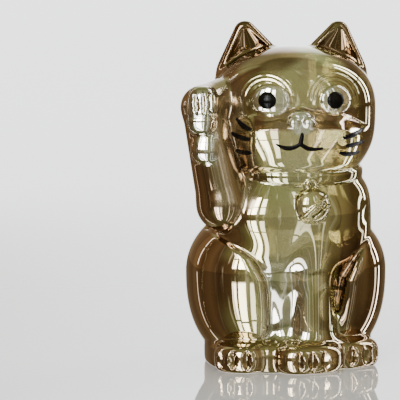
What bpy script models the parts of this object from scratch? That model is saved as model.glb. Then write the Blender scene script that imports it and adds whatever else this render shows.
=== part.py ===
"""Beckoning cat figurine: one solid crystal casting with black enamel marks fused into it.

The cat sits on its haunches with its right arm raised beside its head. The body faces -Y,
+X is the cat's left, and the head is turned a little towards the raised arm. The casting is
modelled as overlapping rounded forms that are merged, softened and cut flat at the base.
Its collar, bell, eyes and toes are then added or cut sharply. Each enamel mark lies in a
shallow recess of its own. Lengths are millimetres until MM turns them into metres.
"""

import math

import bmesh
import bpy
from mathutils import Matrix, Vector
from mathutils.bvhtree import BVHTree

MM = 0.001

# Driving dimensions of the figurine
HEIGHT = 98.0
HEAD_RADII = (23.6, 19.3, 17.3)
HEAD_CENTRE = Vector((0.9, 0.0, 0.75 * HEIGHT))
HEAD_TURN = -7.0
BODY_RADII = (23.2, 18.3)
NECK_Z = 57.0
COLLAR_Z = 55.1
COLLAR_TILT = 3.0
FOOT_TOP = 8.9
BELL_CENTRE = (1.6, -18.6, 46.6)
BELL_RADIUS = 5.0
BELL_SLANT = 40.0

# The face, across, deep and up from the head's centre, in the head's own turned frame
EYE_SPREAD = 9.5
EYE_Z = 2.4
EYE_RADIUS = 4.3
EYE_DEPTH = -14.3
EYE_BULGE = 4.6
EYE_GROOVE = 5.7
PUPIL_RADIUS = 2.4
PUPIL_BULGE = 0.8
MUZZLE_X = -0.5
JAW_LENGTH = 1.13               # the skull's lower half, as parts of its upper half
CHIN_LENGTH = 1.45              # the muzzle's lower half, likewise

# Heights up a haunch's front edge, and how far outwards the edge lies there on each side
HAUNCH_EDGES = {
    -1: ((8, 9.4), (15, 9.6), (22, 10.2), (26, 10.8), (32, 14.2), (36, 18.2), (40, 24.0)),
    1: ((8, 10.4), (13, 10.6), (19, 11.5), (25, 12.4), (31, 15.5), (38, 20.0), (41, 24.0)),
}

# Half sizes across, deep and up of the V cuts between the toes and between the fingers
TOE_CUT = (1.6, 1.1, 2.9)
FINGER_CUT = (0.7, 0.7, 3.3)

# Enamel and the recess round it
LINE_RADIUS = 0.5
ENAMEL_GAP = 0.12
PROUD = 0.15

# Fineness of the casting
VOXEL = 0.8
SOFTENING = 5
BODY_SHARE = 0.062
CUT_DEPTH = 30.0


# ---------------------------------------------------------------- scene and materials

def clear_scene():
    for obj in list(bpy.data.objects):
        bpy.data.objects.remove(obj)


def new_collection(name):
    collection = bpy.data.collections.new(name)
    bpy.context.scene.collection.children.link(collection)
    return collection


def plain_material(name, colour, roughness, metallic=0.0, transmission=0.0):
    material = bpy.data.materials.new(name)
    material.use_nodes = True
    shader = material.node_tree.nodes["Principled BSDF"]
    shader.inputs["Base Color"].default_value = (*colour, 1.0)
    shader.inputs["Roughness"].default_value = roughness
    shader.inputs["Metallic"].default_value = metallic
    shader.inputs["Transmission Weight"].default_value = transmission
    return material


def object_from_bmesh(name, shape, collection):
    mesh = bpy.data.meshes.new(name)
    shape.to_mesh(mesh)
    mesh.shade_smooth()
    shape.free()
    obj = bpy.data.objects.new(name, mesh)
    collection.objects.link(obj)
    return obj


def as_cutter(obj):
    obj.hide_render = True
    obj.display_type = "WIRE"
    return obj


def evaluated_copy(obj, name, collection):
    """A plain mesh object that is what obj looks like with its modifiers or bevel applied."""
    graph = bpy.context.evaluated_depsgraph_get()
    mesh = bpy.data.meshes.new_from_object(obj.evaluated_get(graph))
    copy = bpy.data.objects.new(name, mesh)
    copy.matrix_world = obj.matrix_world
    collection.objects.link(copy)
    return copy


# ---------------------------------------------------------------- rounded forms

def superquadric(shape, centre, radii, plan=2.0, profile=2.0, turn=0.0, segments=40):
    """Adds a ball whose outline is squarer the higher plan (seen from above) and profile are.

    profile may be a pair: the exponent of the upper half and that of the lower half.
    """
    above, below = profile if isinstance(profile, tuple) else (profile, profile)
    made = bmesh.ops.create_uvsphere(shape, u_segments=segments, v_segments=segments // 2, radius=1.0)
    place = Matrix.Translation(Vector(centre) * MM) @ Matrix.Rotation(math.radians(turn), 4, "Z")
    for vert in made["verts"]:
        power = above if vert.co.z > 0 else below
        x, y, z = (abs(c) for c in vert.co)
        level = (x**plan + y**plan) ** (1 / plan)
        reach = (level**power + z**power) ** (1 / power)
        vert.co = place @ Vector([c / reach * r * MM for c, r in zip(vert.co, radii)])
    return made["verts"]


def round_cone(shape, start, end, start_radius, end_radius, flatness=1.0, segments=24):
    """Adds the hull of two balls, squeezed front to back by flatness about the start's depth."""
    balls = bmesh.new()
    for centre, radius in ((start, start_radius), (end, end_radius)):
        made = bmesh.ops.create_uvsphere(
            balls, u_segments=segments, v_segments=segments // 2, radius=radius * MM
        )
        for vert in made["verts"]:
            vert.co = vert.co + Vector(centre) * MM
    verts = [shape.verts.new(vert.co) for vert in balls.verts]
    balls.free()
    bmesh.ops.convex_hull(shape, input=verts)
    inner = [vert for vert in verts if not vert.link_faces]
    bmesh.ops.delete(shape, geom=inner, context="VERTS")
    kept = [vert for vert in verts if vert.is_valid]
    for vert in kept:
        vert.co.y = start[1] * MM + (vert.co.y - start[1] * MM) * flatness
    return kept


def head_matrix():
    """From the head's own frame, with its origin on the ground, to the figurine's frame."""
    axis = Vector((HEAD_CENTRE.x, HEAD_CENTRE.y, 0)) * MM
    return Matrix.Translation(axis) @ Matrix.Rotation(math.radians(HEAD_TURN), 4, "Z")


def turned_with_head(verts):
    matrix = head_matrix()
    for vert in verts:
        vert.co = matrix @ vert.co


def lengthen_below(verts, height, length):
    """Scales whatever lies below a height away from it."""
    for vert in verts:
        drop = height * MM - vert.co.z
        if drop > 0:
            vert.co.z -= drop * (length - 1)


def add_head(shape):
    skull = superquadric(
        shape, (0, 0, HEAD_CENTRE.z), HEAD_RADII, plan=2.25, profile=(2.25, 3.2), segments=64
    )
    lengthen_below(skull, HEAD_CENTRE.z, JAW_LENGTH)
    neck = superquadric(shape, (0, 0, NECK_Z + 1), (17.3, 16, 5), profile=3)
    muzzle = superquadric(
        shape, (MUZZLE_X, -14.6, HEAD_CENTRE.z - 7), (15.5, 7.4, 6.9), plan=2.6, profile=(1.8, 2.3)
    )
    lengthen_below(muzzle, HEAD_CENTRE.z - 7, CHIN_LENGTH)
    nose = superquadric(shape, (MUZZLE_X, -20.9, HEAD_CENTRE.z - 3.3), (3.8, 2.6, 2.4), segments=20)
    turned_with_head(skull + neck + muzzle + nose)


def add_ear(shape, side):
    root = (side * 11.2, 3, HEAD_CENTRE.z + 8.3)
    tip = (side * 13.5, 3, HEIGHT - 3.2)
    turned_with_head(round_cone(shape, root, tip, 10.8, 3.2, flatness=0.62))


def add_torso(shape):
    superquadric(shape, (0, 0.5, 38), (*BODY_RADII, 20), plan=2.2, profile=(3.6, 3.0), segments=64)
    superquadric(shape, (0, 2, 21), (20, 14.5, 22), plan=2.2, profile=2.6)
    superquadric(shape, (-2.5, -8.5, 43.2), (15, 11, 12))
    superquadric(shape, (-0.3, 0.6, 3.2), (24.3, 20.5, 7), plan=2.4, profile=3.5, segments=64)


def foot_x(side):
    return 14.0 if side > 0 else -15.6


def edge_reach(side, height):
    """How far outwards a haunch's front edge lies at a height."""
    places = HAUNCH_EDGES[side]
    if height <= places[0][0]:
        return places[0][1]
    for (low, near), (high, far) in zip(places, places[1:]):
        if height <= high:
            return near + (far - near) * (height - low) / (high - low)
    return places[-1][1]


def add_hind_leg(shape, side, reach):
    """A haunch that lies round the flank like a shell, ends in front in an edge, and its foot."""
    centre = Vector((side * 4.5, 3, 26.5))
    shell = superquadric(shape, centre, (reach, 1, 1), plan=2.2, profile=(2, 2.4), segments=80)
    for vert in shell:
        x, y, z = (vert.co - centre * MM) / MM
        y = centre.y + y * (16.5 if y > 0 else 21.5)
        z = centre.z + z * (20.5 if z > 0 else 29)
        beyond = edge_reach(side, z) - side * (centre.x + x)
        if beyond > 0 and y < -9:
            y = min(y + 2.5 * beyond, -9)
        vert.co = Vector((centre.x + x, y, z)) * MM
    superquadric(
        shape, (foot_x(side), -9.5, 3.6), (8.3, 9.6, FOOT_TOP - 3.6),
        plan=2.4, profile=2.8, turn=side * 25,
    )


def add_foreleg(shape):
    round_cone(shape, (3.2, -11.5, 40), (2.6, -15.6, 8), 6.4, 6.4)
    superquadric(shape, (0.7, -16.6, 3.7), (9.8, 8, FOOT_TOP - 3.6), plan=2.8, profile=2.8)


def add_raised_arm(shape):
    shoulder, elbow = (-16, -3, 47.5), (-21.3, -8.5, 46.7)
    wrist, crown = (-27.0, -8, 73.9), (-19, -3, 76.3)
    round_cone(shape, shoulder, elbow, 8, 7.3)
    round_cone(shape, elbow, wrist, 7.3, 5.8)
    round_cone(shape, wrist, crown, 5.8, 6)
    superquadric(shape, (-28.2, -12.3, 73.0), (3.7, 4.4, 7.0), plan=3, profile=3)


def add_tail(shape):
    """The tail lies curled against the back, from the right of the rump up to a rounded tip."""
    steps = 5
    points = []
    for step in range(steps + 1):
        angle = math.radians(-60 + 150 * step / steps)
        points.append((3 + 10 * math.cos(angle), 17.2, 13 + 9 * math.sin(angle)))
    for start, end in zip(points, points[1:]):
        round_cone(shape, start, end, 4.2, 4.2, segments=16)


# ---------------------------------------------------------------- casting

def soft_casting(helpers):
    """The merged and softened forms, before anything sharp is cut or added."""
    shape = bmesh.new()
    add_torso(shape)
    add_hind_leg(shape, -1, 25.2)
    add_hind_leg(shape, 1, 24.1)
    add_foreleg(shape)
    add_raised_arm(shape)
    add_tail(shape)
    add_head(shape)
    for side in (-1, 1):
        add_ear(shape, side)
    bmesh.ops.recalc_face_normals(shape, faces=shape.faces)
    forms = object_from_bmesh("merged_forms", shape, helpers)
    remesh = forms.modifiers.new("merge", "REMESH")
    remesh.mode = "VOXEL"
    remesh.voxel_size = VOXEL * MM
    smooth = forms.modifiers.new("soften", "SMOOTH")
    smooth.factor = 0.5
    smooth.iterations = SOFTENING
    thin = forms.modifiers.new("thin out", "DECIMATE")
    thin.ratio = BODY_SHARE
    return as_cutter(forms)


def boolean(body, tool, operation):
    modifier = body.modifiers.new(f"{operation.lower()} {tool.name}", "BOOLEAN")
    modifier.operation = operation
    modifier.solver = "EXACT"
    modifier.object = tool
    as_cutter(tool)


def floor_cutter(helpers):
    bpy.ops.mesh.primitive_cube_add(size=1, location=(0, 0, -CUT_DEPTH / 2 * MM))
    cutter = bpy.context.object
    cutter.name = "floor_cutter"
    cutter.scale = (100 * MM, 100 * MM, CUT_DEPTH * MM)
    move_to(cutter, helpers)
    return cutter


def move_to(obj, collection):
    for old in list(obj.users_collection):
        old.objects.unlink(obj)
    collection.objects.link(obj)


def ear_hollow(side, helpers):
    """The concave front of an ear, which leaves a rim round the ear's outline."""
    shape = bmesh.new()
    low = (side * 11.6, -1.4, HEAD_CENTRE.z + 10.5)
    high = (side * 13.4, 0.6, HEIGHT - 4.2)
    verts = round_cone(shape, low, high, 8.0, 2.2, flatness=0.42, segments=20)
    for vert in verts:
        rise = (vert.co.z / MM - low[2]) / (high[2] - low[2])
        vert.co.y += (high[1] - low[1]) * (0.58 * rise) * MM
    turned_with_head(verts)
    return object_from_bmesh(f"ear_hollow_{side_name(side)}", shape, helpers)


def collar_ring(helpers):
    bpy.ops.mesh.primitive_torus_add(
        major_segments=48, minor_segments=8, major_radius=18.2 * MM, minor_radius=1.9 * MM,
        location=Vector((HEAD_CENTRE.x, 0, COLLAR_Z)) * MM,
        rotation=(math.radians(COLLAR_TILT), 0, 0),
    )
    ring = bpy.context.object
    ring.name = "collar_ring"
    ring.scale.y = 0.93
    ring.scale.z = 1.05
    move_to(ring, helpers)
    return ring


def bell_forms(helpers):
    """The round bell in relief under the collar, with its slanting belt and its hanging loop."""
    shape = bmesh.new()
    superquadric(shape, BELL_CENTRE, (BELL_RADIUS, 3.7, BELL_RADIUS), segments=20)
    yield object_from_bmesh("bell_form", shape, helpers)
    slant = math.radians(BELL_SLANT)
    for name, up, major, minor, turn, depth in (
        ("bell_belt", 0, BELL_RADIUS, 0.45, slant, 0.76),
        ("bell_loop", BELL_RADIUS + 0.9, 1.3, 0.6, math.radians(90), 0.9),
    ):
        place = Vector(BELL_CENTRE) + Vector((0, 0, up))
        bpy.ops.mesh.primitive_torus_add(
            major_segments=20, minor_segments=6, major_radius=major * MM, minor_radius=minor * MM,
            location=place * MM,
        )
        ring = bpy.context.object
        ring.name = name
        if name == "bell_belt":
            ring.rotation_euler = (0, -turn, 0)
            ring.scale.y = depth
        else:
            ring.rotation_euler = (turn, 0, 0)
        move_to(ring, helpers)
        yield ring


def bell_cuts(helpers):
    """The bell's sound slot, a narrow cut below the belt along its slant, and the slot's round end."""
    slant = Matrix.Rotation(math.radians(-BELL_SLANT), 4, "Y")
    for name, place, half_sizes in (
        ("bell_slot", (-0.2, -3.4, -1.9), (2.6, 1.5, 0.45)),
        ("bell_slot_end", (2.4, -2.9, -1.9), (0.9, 1.5, 0.9)),
    ):
        shape = bmesh.new()
        for vert in superquadric(shape, (0, 0, 0), half_sizes, segments=12):
            vert.co = slant @ (vert.co + Vector(place) * MM) + Vector(BELL_CENTRE) * MM
        yield object_from_bmesh(name, shape, helpers)


def eye_dome(side, helpers):
    shape = bmesh.new()
    centre = (side * EYE_SPREAD, EYE_DEPTH, HEAD_CENTRE.z + EYE_Z)
    verts = superquadric(shape, centre, (EYE_RADIUS, EYE_BULGE, EYE_RADIUS), segments=24)
    turned_with_head(verts)
    return object_from_bmesh(f"eye_dome_{side_name(side)}", shape, helpers)


def slit(name, surface, target, facing, half_sizes, helpers):
    """A lens-shaped V cut where the level line through target meets the outside.

    facing is the cut's direction in degrees from -Y towards +X. The cutter is a four-sided
    spindle with one edge pointing into the casting; half_sizes are across, deep and up.
    """
    shape = bmesh.new()
    made = bmesh.ops.create_uvsphere(shape, u_segments=4, v_segments=10, radius=1.0)
    turn = Matrix.Rotation(math.radians(facing), 4, "Z")
    outward = turn @ Vector((0, -1, 0))
    target = Vector(target) * MM
    place = surface.ray_cast(target + outward * 40 * MM, -outward)[0]
    for vert in made["verts"]:
        sized = Vector([c * half * MM for c, half in zip(vert.co, half_sizes)])
        vert.co = turn @ sized + place
    return object_from_bmesh(name, shape, helpers)


def slits(surface, helpers):
    """Three toe cuts to each foot on the ground, and three finger cuts on the raised paw."""
    for index, (x, facing) in enumerate(((-3.3, -8), (0.5, 0), (4.2, 8))):
        yield slit(f"toe_cut_front_{index}", surface, (x, -18, 3.9), facing, TOE_CUT, helpers)
    for side, facings in ((-1, (8, 33, 59)), (1, (-5, 22, 46))):
        foot = (foot_x(side), -9.5, 3.9)
        for index, facing in enumerate(facings):
            name = f"toe_cut_{side_name(side)}_{index}"
            yield slit(name, surface, foot, side * facing, TOE_CUT, helpers)
    for index, (x, facing) in enumerate(((-30.4, -20), (-28.4, 0), (-26.5, 10))):
        name = f"finger_cut_{index}"
        yield slit(name, surface, (x, -12, 75.2), facing, FINGER_CUT, helpers)


def side_name(side):
    """The cat's own left is +X."""
    return "left" if side > 0 else "right"


def cast_crystal(parts, helpers):
    """The casting without its enamel recesses."""
    forms = soft_casting(helpers)
    body = evaluated_copy(forms, "crystal_body", parts)
    boolean(body, floor_cutter(helpers), "DIFFERENCE")
    boolean(body, collar_ring(helpers), "UNION")
    for form in bell_forms(helpers):
        boolean(body, form, "UNION")
    for cut in bell_cuts(helpers):
        boolean(body, cut, "DIFFERENCE")
    for side in (-1, 1):
        boolean(body, ear_hollow(side, helpers), "DIFFERENCE")
        boolean(body, eye_dome(side, helpers), "UNION")
    surface = surface_of(body)
    for side in (-1, 1):
        boolean(body, eye_groove(side, surface, helpers), "DIFFERENCE")
    for cutter in slits(surface, helpers):
        boolean(body, cutter, "DIFFERENCE")
    return body


def surface_of(obj):
    bpy.context.view_layer.update()
    return BVHTree.FromObject(obj, bpy.context.evaluated_depsgraph_get())


# ---------------------------------------------------------------- enamel

def pupil(name, side, radius, bulge, collection):
    shape = bmesh.new()
    front = EYE_DEPTH - EYE_BULGE + PROUD
    centre = (side * EYE_SPREAD, front, HEAD_CENTRE.z + EYE_Z)
    verts = superquadric(shape, centre, (radius, bulge, radius), segments=20)
    turned_with_head(verts)
    return object_from_bmesh(name, shape, collection)


def draped(surface, places, lift=0.0):
    """Points on the face at the (across, up) places, lifted off it by lift millimetres."""
    matrix = head_matrix()
    forward = matrix.to_3x3() @ Vector((0, 1, 0))
    points = []
    for across, up in places:
        origin = matrix @ (Vector((across, -40, HEAD_CENTRE.z + up)) * MM)
        hit, normal, _, _ = surface.ray_cast(origin, forward)
        points.append(hit + normal * lift * MM)
    return points


def line_points(surface, route, samples=7):
    """Points on the face along a smooth curve through route's three (across, up) places."""
    start, middle, end = (Vector(p) for p in route)
    bend = 2 * middle - (start + end) / 2
    steps = [step / (samples - 1) for step in range(samples)]
    places = [(1 - t) ** 2 * start + 2 * t * (1 - t) * bend + t**2 * end for t in steps]
    return draped(surface, places, PROUD)


def eye_groove(side, surface, helpers):
    """The ring-shaped groove that sets an eye off from the face."""
    angles = [2 * math.pi * step / 20 for step in range(20)]
    places = [
        (side * EYE_SPREAD + EYE_GROOVE * math.cos(a), EYE_Z + EYE_GROOVE * math.sin(a)) for a in angles
    ]
    ring = draped(surface, places)
    return tube(f"eye_groove_{side_name(side)}", ring, 0.5, (1, 1), helpers, closed=True)


def tube(name, points, radius, ends, collection, closed=False):
    """A round stroke through points; ends are its two end radii as parts of its radius."""
    curve = bpy.data.curves.new(name, "CURVE")
    curve.dimensions = "3D"
    curve.bevel_depth = radius * MM
    curve.bevel_resolution = 2
    curve.use_fill_caps = True
    spline = curve.splines.new("POLY")
    spline.points.add(len(points) - 1)
    for point, place in zip(spline.points, points):
        point.co = (*place, 1)
    spline.points[0].radius, spline.points[-1].radius = ends
    spline.use_cyclic_u = closed
    rough = bpy.data.objects.new(name + "_curve", curve)
    collection.objects.link(rough)
    made = evaluated_copy(rough, name, collection)
    bpy.data.objects.remove(rough)
    shape = bmesh.new()
    shape.from_mesh(made.data)
    bmesh.ops.remove_doubles(shape, verts=shape.verts, dist=0.001 * MM)
    shape.to_mesh(made.data)
    shape.free()
    return made


# (across, up) from the head's centre of each whisker's outer end, middle and inner end
WHISKERS = {
    -1: {
        "upper": ((-17.4, -2.8), (-16.0, -4.6), (-14.2, -5.5)),
        "middle": ((-19.3, -6.5), (-16.8, -7.8), (-14.4, -8.2)),
        "lower": ((-18.7, -11.3), (-16.4, -12.0), (-14.1, -11.9)),
    },
    1: {
        "upper": ((17.8, -5.8), (14.8, -7.1), (11.6, -7.8)),
        "middle": ((18.1, -9.3), (15.3, -9.9), (12.5, -10.1)),
        "lower": ((16.6, -12.2), (13.6, -12.6), (10.7, -12.0)),
    },
}
MOUTH_JOIN = (-0.8, -9.4)
MOUTH_STROKES = {
    "philtrum": ((-0.4, -6.7), (-0.6, -8.1), (-0.8, -9.6)),
    "lip_right": (MOUTH_JOIN, (-3.9, -10.7), (-7.4, -9.4)),
    "lip_left": (MOUTH_JOIN, (2.1, -10.9), (5.4, -10.7)),
}
MOUTH_ENDS = {"philtrum": (0.7, 1.0), "lip_right": (1.0, 0.5), "lip_left": (1.0, 0.5)}


def mouth(name, surface, radius, collection, helpers):
    """The philtrum and the two lips as one enamel line."""
    strokes = [
        tube(f"{name}_{part}", line_points(surface, route), radius, MOUTH_ENDS[part], helpers)
        for part, route in MOUTH_STROKES.items()
    ]
    whole = strokes[0].copy()
    whole.data = strokes[0].data.copy()
    whole.name = name
    collection.objects.link(whole)
    for stroke in strokes[1:]:
        boolean(whole, stroke, "UNION")
    as_cutter(strokes[0])
    return whole


def enamel_marks(surface, parts, helpers):
    """Each enamel mark, with the slightly larger cutter that makes the recess it lies in."""
    marks = []
    for side in (-1, 1):
        name = f"pupil_{side_name(side)}"
        mark = pupil(name, side, PUPIL_RADIUS, PUPIL_BULGE, parts)
        recess = pupil(
            name + "_recess", side, PUPIL_RADIUS + ENAMEL_GAP, PUPIL_BULGE + ENAMEL_GAP, helpers
        )
        marks.append((mark, recess))
    for side in (-1, 1):
        for level, route in WHISKERS[side].items():
            name = f"whisker_{side_name(side)}_{level}"
            points = line_points(surface, route)
            mark = tube(name, points, LINE_RADIUS, (0.5, 0.5), parts)
            recess = tube(
                name + "_recess", longer(points), LINE_RADIUS + ENAMEL_GAP, (0.8, 0.8), helpers
            )
            marks.append((mark, recess))
    mark = mouth("mouth_line", surface, LINE_RADIUS, parts, helpers)
    recess = mouth("mouth_recess", surface, LINE_RADIUS + ENAMEL_GAP, helpers, helpers)
    marks.append((mark, recess))
    return marks


def longer(points):
    """The same stroke with both ends pushed out, so that a recess clears its enamel's ends."""
    first = points[0] + (points[0] - points[1]).normalized() * ENAMEL_GAP * MM
    last = points[-1] + (points[-1] - points[-2]).normalized() * ENAMEL_GAP * MM
    return [first, *points[1:-1], last]


# ---------------------------------------------------------------- assembly

def stand_at_origin(body, collections):
    """Parents the nodes and their cutters to an empty that puts the base's centre on the origin."""
    bpy.context.view_layer.update()
    graph = bpy.context.evaluated_depsgraph_get()
    corners = [Vector(c) for c in body.evaluated_get(graph).bound_box]
    middle = (Vector(map(min, *corners)) + Vector(map(max, *corners))) / 2
    origin = bpy.data.objects.new("figurine_origin", None)
    bpy.context.scene.collection.objects.link(origin)
    origin.location = (-middle.x, -middle.y, 0)
    for collection in collections:
        for obj in collection.objects:
            obj.parent = origin


def main():
    clear_scene()
    parts = new_collection("beckoning_cat")
    helpers = new_collection("cutters")
    crystal = plain_material("gold_lustre_crystal", (0.62, 0.47, 0.25), 0.05, 0.7, 1.0)
    enamel = plain_material("black_enamel", (0.012, 0.011, 0.01), 0.12)
    body = cast_crystal(parts, helpers)
    marks = enamel_marks(surface_of(body), parts, helpers)
    for mark, recess in marks:
        boolean(body, recess, "DIFFERENCE")
        mark.data.materials.append(enamel)
    body.data.materials.append(crystal)
    stand_at_origin(body, (parts, helpers))


main()
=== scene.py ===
import math

import bmesh
import bpy
import numpy as np
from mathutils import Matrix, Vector


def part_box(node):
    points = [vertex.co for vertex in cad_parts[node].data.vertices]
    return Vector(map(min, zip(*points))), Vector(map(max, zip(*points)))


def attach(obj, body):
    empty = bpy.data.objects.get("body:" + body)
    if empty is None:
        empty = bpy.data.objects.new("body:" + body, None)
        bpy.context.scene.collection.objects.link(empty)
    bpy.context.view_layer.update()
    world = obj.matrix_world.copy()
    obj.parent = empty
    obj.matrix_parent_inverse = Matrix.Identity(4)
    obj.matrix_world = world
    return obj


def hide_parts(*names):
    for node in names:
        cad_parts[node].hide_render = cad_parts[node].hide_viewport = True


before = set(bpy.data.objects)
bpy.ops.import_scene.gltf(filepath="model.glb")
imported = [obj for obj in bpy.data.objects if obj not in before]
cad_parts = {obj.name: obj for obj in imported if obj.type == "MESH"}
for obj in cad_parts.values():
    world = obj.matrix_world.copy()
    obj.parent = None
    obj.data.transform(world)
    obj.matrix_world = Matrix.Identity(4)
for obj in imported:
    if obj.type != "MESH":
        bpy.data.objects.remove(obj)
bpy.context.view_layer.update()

# Forms are drawn in millimetres; the camera, the floor and the materials are in metres
MM = 0.001

# The head turns about an upright axis; the face is laid out in the head's own turned frame.
# HEAD holds the axis's x and y, and the height of the head's middle.
HEAD = (0.9, 0.0, 73.5)
HEAD_TURN = -7.0
TURN_COS, TURN_SIN = math.cos(math.radians(HEAD_TURN)), math.sin(math.radians(HEAD_TURN))
EYE_ACROSS, EYE_UP = 9.5, 75.9
PUPIL_FRONT = -18.75
MUZZLE_X = -0.5
# How far each white lies off its pupil, and its half width and half height
EYE_WHITES = {-1: (1.1, 5.3, 4.1), 1: (0.2, 4.2, 3.9)}
# Where the two hind feet's middles lie
FOOT_ACROSS, FOOT_DEPTH = {-1: -15.6, 1: 14.0}, -9.5

CAMERA_AZIMUTH = -14.0          # degrees from the front, towards the raised paw
CAMERA_ELEVATION = 5.0
CAMERA_DISTANCE = 0.5
AIM_HEIGHT = 0.0485
FRAME_WIDTH = 0.115             # what the frame takes in at the figurine
FRAME_SHIFT = (-0.225, -0.016)
SENSOR_WIDTH = 36
FLOOR_RADIUS = 0.7

# Size of the grid cells that the pieces are meshed with, in millimetres
CASTING_SPACING = 0.5
PUPIL_SPACING, STROKE_SPACING = 0.16, 0.14


def head_to_figurine(points):
    """From the head's frame (z is height already) to the figurine's."""
    x, y, z = np.atleast_2d(np.asarray(points, float)).T
    across = HEAD[0] + x * TURN_COS - y * TURN_SIN
    return np.stack([across, HEAD[1] + x * TURN_SIN + y * TURN_COS, z], 1)


def figurine_to_head(points):
    """From the figurine's frame to the head's."""
    x, y = points[:, 0] - HEAD[0], points[:, 1] - HEAD[1]
    return np.stack([x * TURN_COS + y * TURN_SIN, -x * TURN_SIN + y * TURN_COS, points[:, 2]], 1)


def row_offset():
    """Where the figurine's own origin lies in the row frame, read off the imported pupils."""
    middles = []
    for node in ("pupil_left", "pupil_right"):
        low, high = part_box(node)
        middles.append((low + high) / 2)
    middle = (middles[0] + middles[1]) / 2
    drawn = head_to_figurine((0, PUPIL_FRONT, EYE_UP))[0] * MM
    return np.array([middle.x - drawn[0], middle.y - drawn[1], 0.0])


OFFSET = row_offset()


# ---------------------------------------------------------------- camera

def direction(azimuth, elevation):
    """Unit vector out of the figurine: azimuth from -Y, negative towards -X, both in degrees."""
    a, e = math.radians(azimuth), math.radians(elevation)
    return Vector((math.sin(a) * math.cos(e), -math.cos(a) * math.cos(e), math.sin(e)))


def add_camera():
    data = bpy.data.cameras.new("camera")
    camera = bpy.data.objects.new("camera", data)
    bpy.context.scene.collection.objects.link(camera)
    back = direction(CAMERA_AZIMUTH, CAMERA_ELEVATION)
    aim = Vector((OFFSET[0], OFFSET[1], AIM_HEIGHT))
    camera.location = aim + back * CAMERA_DISTANCE
    camera.rotation_euler = (-back).to_track_quat("-Z", "Y").to_euler()
    data.sensor_width = SENSOR_WIDTH
    data.lens = SENSOR_WIDTH * CAMERA_DISTANCE / FRAME_WIDTH
    data.shift_x, data.shift_y = FRAME_SHIFT
    data.clip_start = 0.01
    bpy.context.scene.camera = camera


add_camera()


# ---------------------------------------------------------------- distances to rounded forms
# Every form is a function that gives, for points in millimetres, a distance to its surface that
# is negative inside. Forms are joined and cut smoothly, then turned into one mesh.

def rotate(points, axis, degrees):
    """Points seen from a frame turned by degrees about an axis (0 is X)."""
    c, s = math.cos(math.radians(degrees)), math.sin(math.radians(degrees))
    a, b = [(1, 2), (2, 0), (0, 1)][axis]
    turned = points.copy()
    turned[:, a] = points[:, a] * c + points[:, b] * s
    turned[:, b] = -points[:, a] * s + points[:, b] * c
    return turned


def placed(points, centre, tilt):
    """Points seen from a frame at centre, turned by tilt's degrees about Z, then Y, then X."""
    q = points - np.asarray(centre, float)
    for axis in (2, 1, 0):
        if tilt[axis]:
            q = rotate(q, axis, tilt[axis])
    return q


def ball(points, centre, radii, plan=2.0, profile=2.0, tilt=(0, 0, 0)):
    """Ellipsoid, squarer from above with plan and from the side with profile.

    profile may be a pair, the exponent above the centre and the one below; the second and third
    radii may be pairs too: behind and in front, and above and below.
    """
    q = placed(points, centre, tilt)
    a, b, c = radii
    if isinstance(b, tuple):
        b = np.where(q[:, 1] > 0, b[0], b[1])
    if isinstance(c, tuple):
        c = np.where(q[:, 2] > 0, c[0], c[1])
    x, y, z = np.abs(q[:, 0]) / a + 1e-9, np.abs(q[:, 1]) / b + 1e-9, np.abs(q[:, 2]) / c + 1e-9
    level = (x**plan + y**plan) ** (1 / plan)
    if isinstance(profile, tuple):
        profile = np.where(q[:, 2] > 0, profile[0], profile[1])
    reach = (level**profile + z**profile) ** (1 / profile)
    by_level, by_height = (level / reach) ** (profile - 1), (z / reach) ** (profile - 1) / c
    by_x, by_y = (x / level) ** (plan - 1) / a, (y / level) ** (plan - 1) / b
    slope = np.sqrt(by_level**2 * (by_x**2 + by_y**2) + by_height**2)
    return (reach - 1) / slope


def round_cone(points, start, end, start_radius, end_radius, flatness=1.0):
    """Hull of two balls, squeezed front to back by flatness about the start's depth."""
    start, end = np.asarray(start, float), np.asarray(end, float)
    q, along = points - start, end - start
    if flatness != 1.0:
        q, along = q.copy(), along.copy()
        q[:, 1] /= flatness
    length2 = along @ along
    taper = start_radius - end_radius
    slant2 = length2 - taper * taper
    y = q @ along
    z = y - length2
    x2 = ((q * length2 - y[:, None] * along) ** 2).sum(1)
    y2, z2 = y * y * length2, z * z * length2
    k = np.sign(taper) * taper * taper * x2
    d = (np.sqrt(x2 * slant2 / length2) + y * taper) / length2 - start_radius
    past_end = np.sign(z) * slant2 * z2 > k
    past_start = (np.sign(y) * slant2 * y2 < k) & ~past_end
    d = np.where(past_end, np.sqrt(x2 + z2) / length2 - end_radius, d)
    d = np.where(past_start, np.sqrt(x2 + y2) / length2 - start_radius, d)
    return d * min(flatness, 1.0)


def ring(points, centre, radius, thickness, tilt=(0, 0, 0), squeeze=1.0):
    """Torus about its own Z axis, squeezed front to back."""
    q = placed(points, centre, tilt)
    return np.hypot(np.hypot(q[:, 0], q[:, 1] / squeeze) - radius, q[:, 2]) - thickness


def join(a, b, softness):
    """Union of two forms, rounded where they meet."""
    h = np.maximum(softness - np.abs(a - b), 0) / softness
    return np.minimum(a, b) - h * h * softness / 4


def cut(a, b, softness):
    """Form a without form b, rounded along the edge."""
    return -join(-a, b, softness)


def shared(a, b, softness):
    """What two forms have in common, rounded along the edge."""
    return -join(-a, -b, softness)


def step(value, start, end):
    """0 to 1 as value goes from start to end, eased at both."""
    t = np.clip((value - start) / (end - start), 0, 1)
    return t * t * (3 - 2 * t)


# ---------------------------------------------------------------- the figurine's forms

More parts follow.
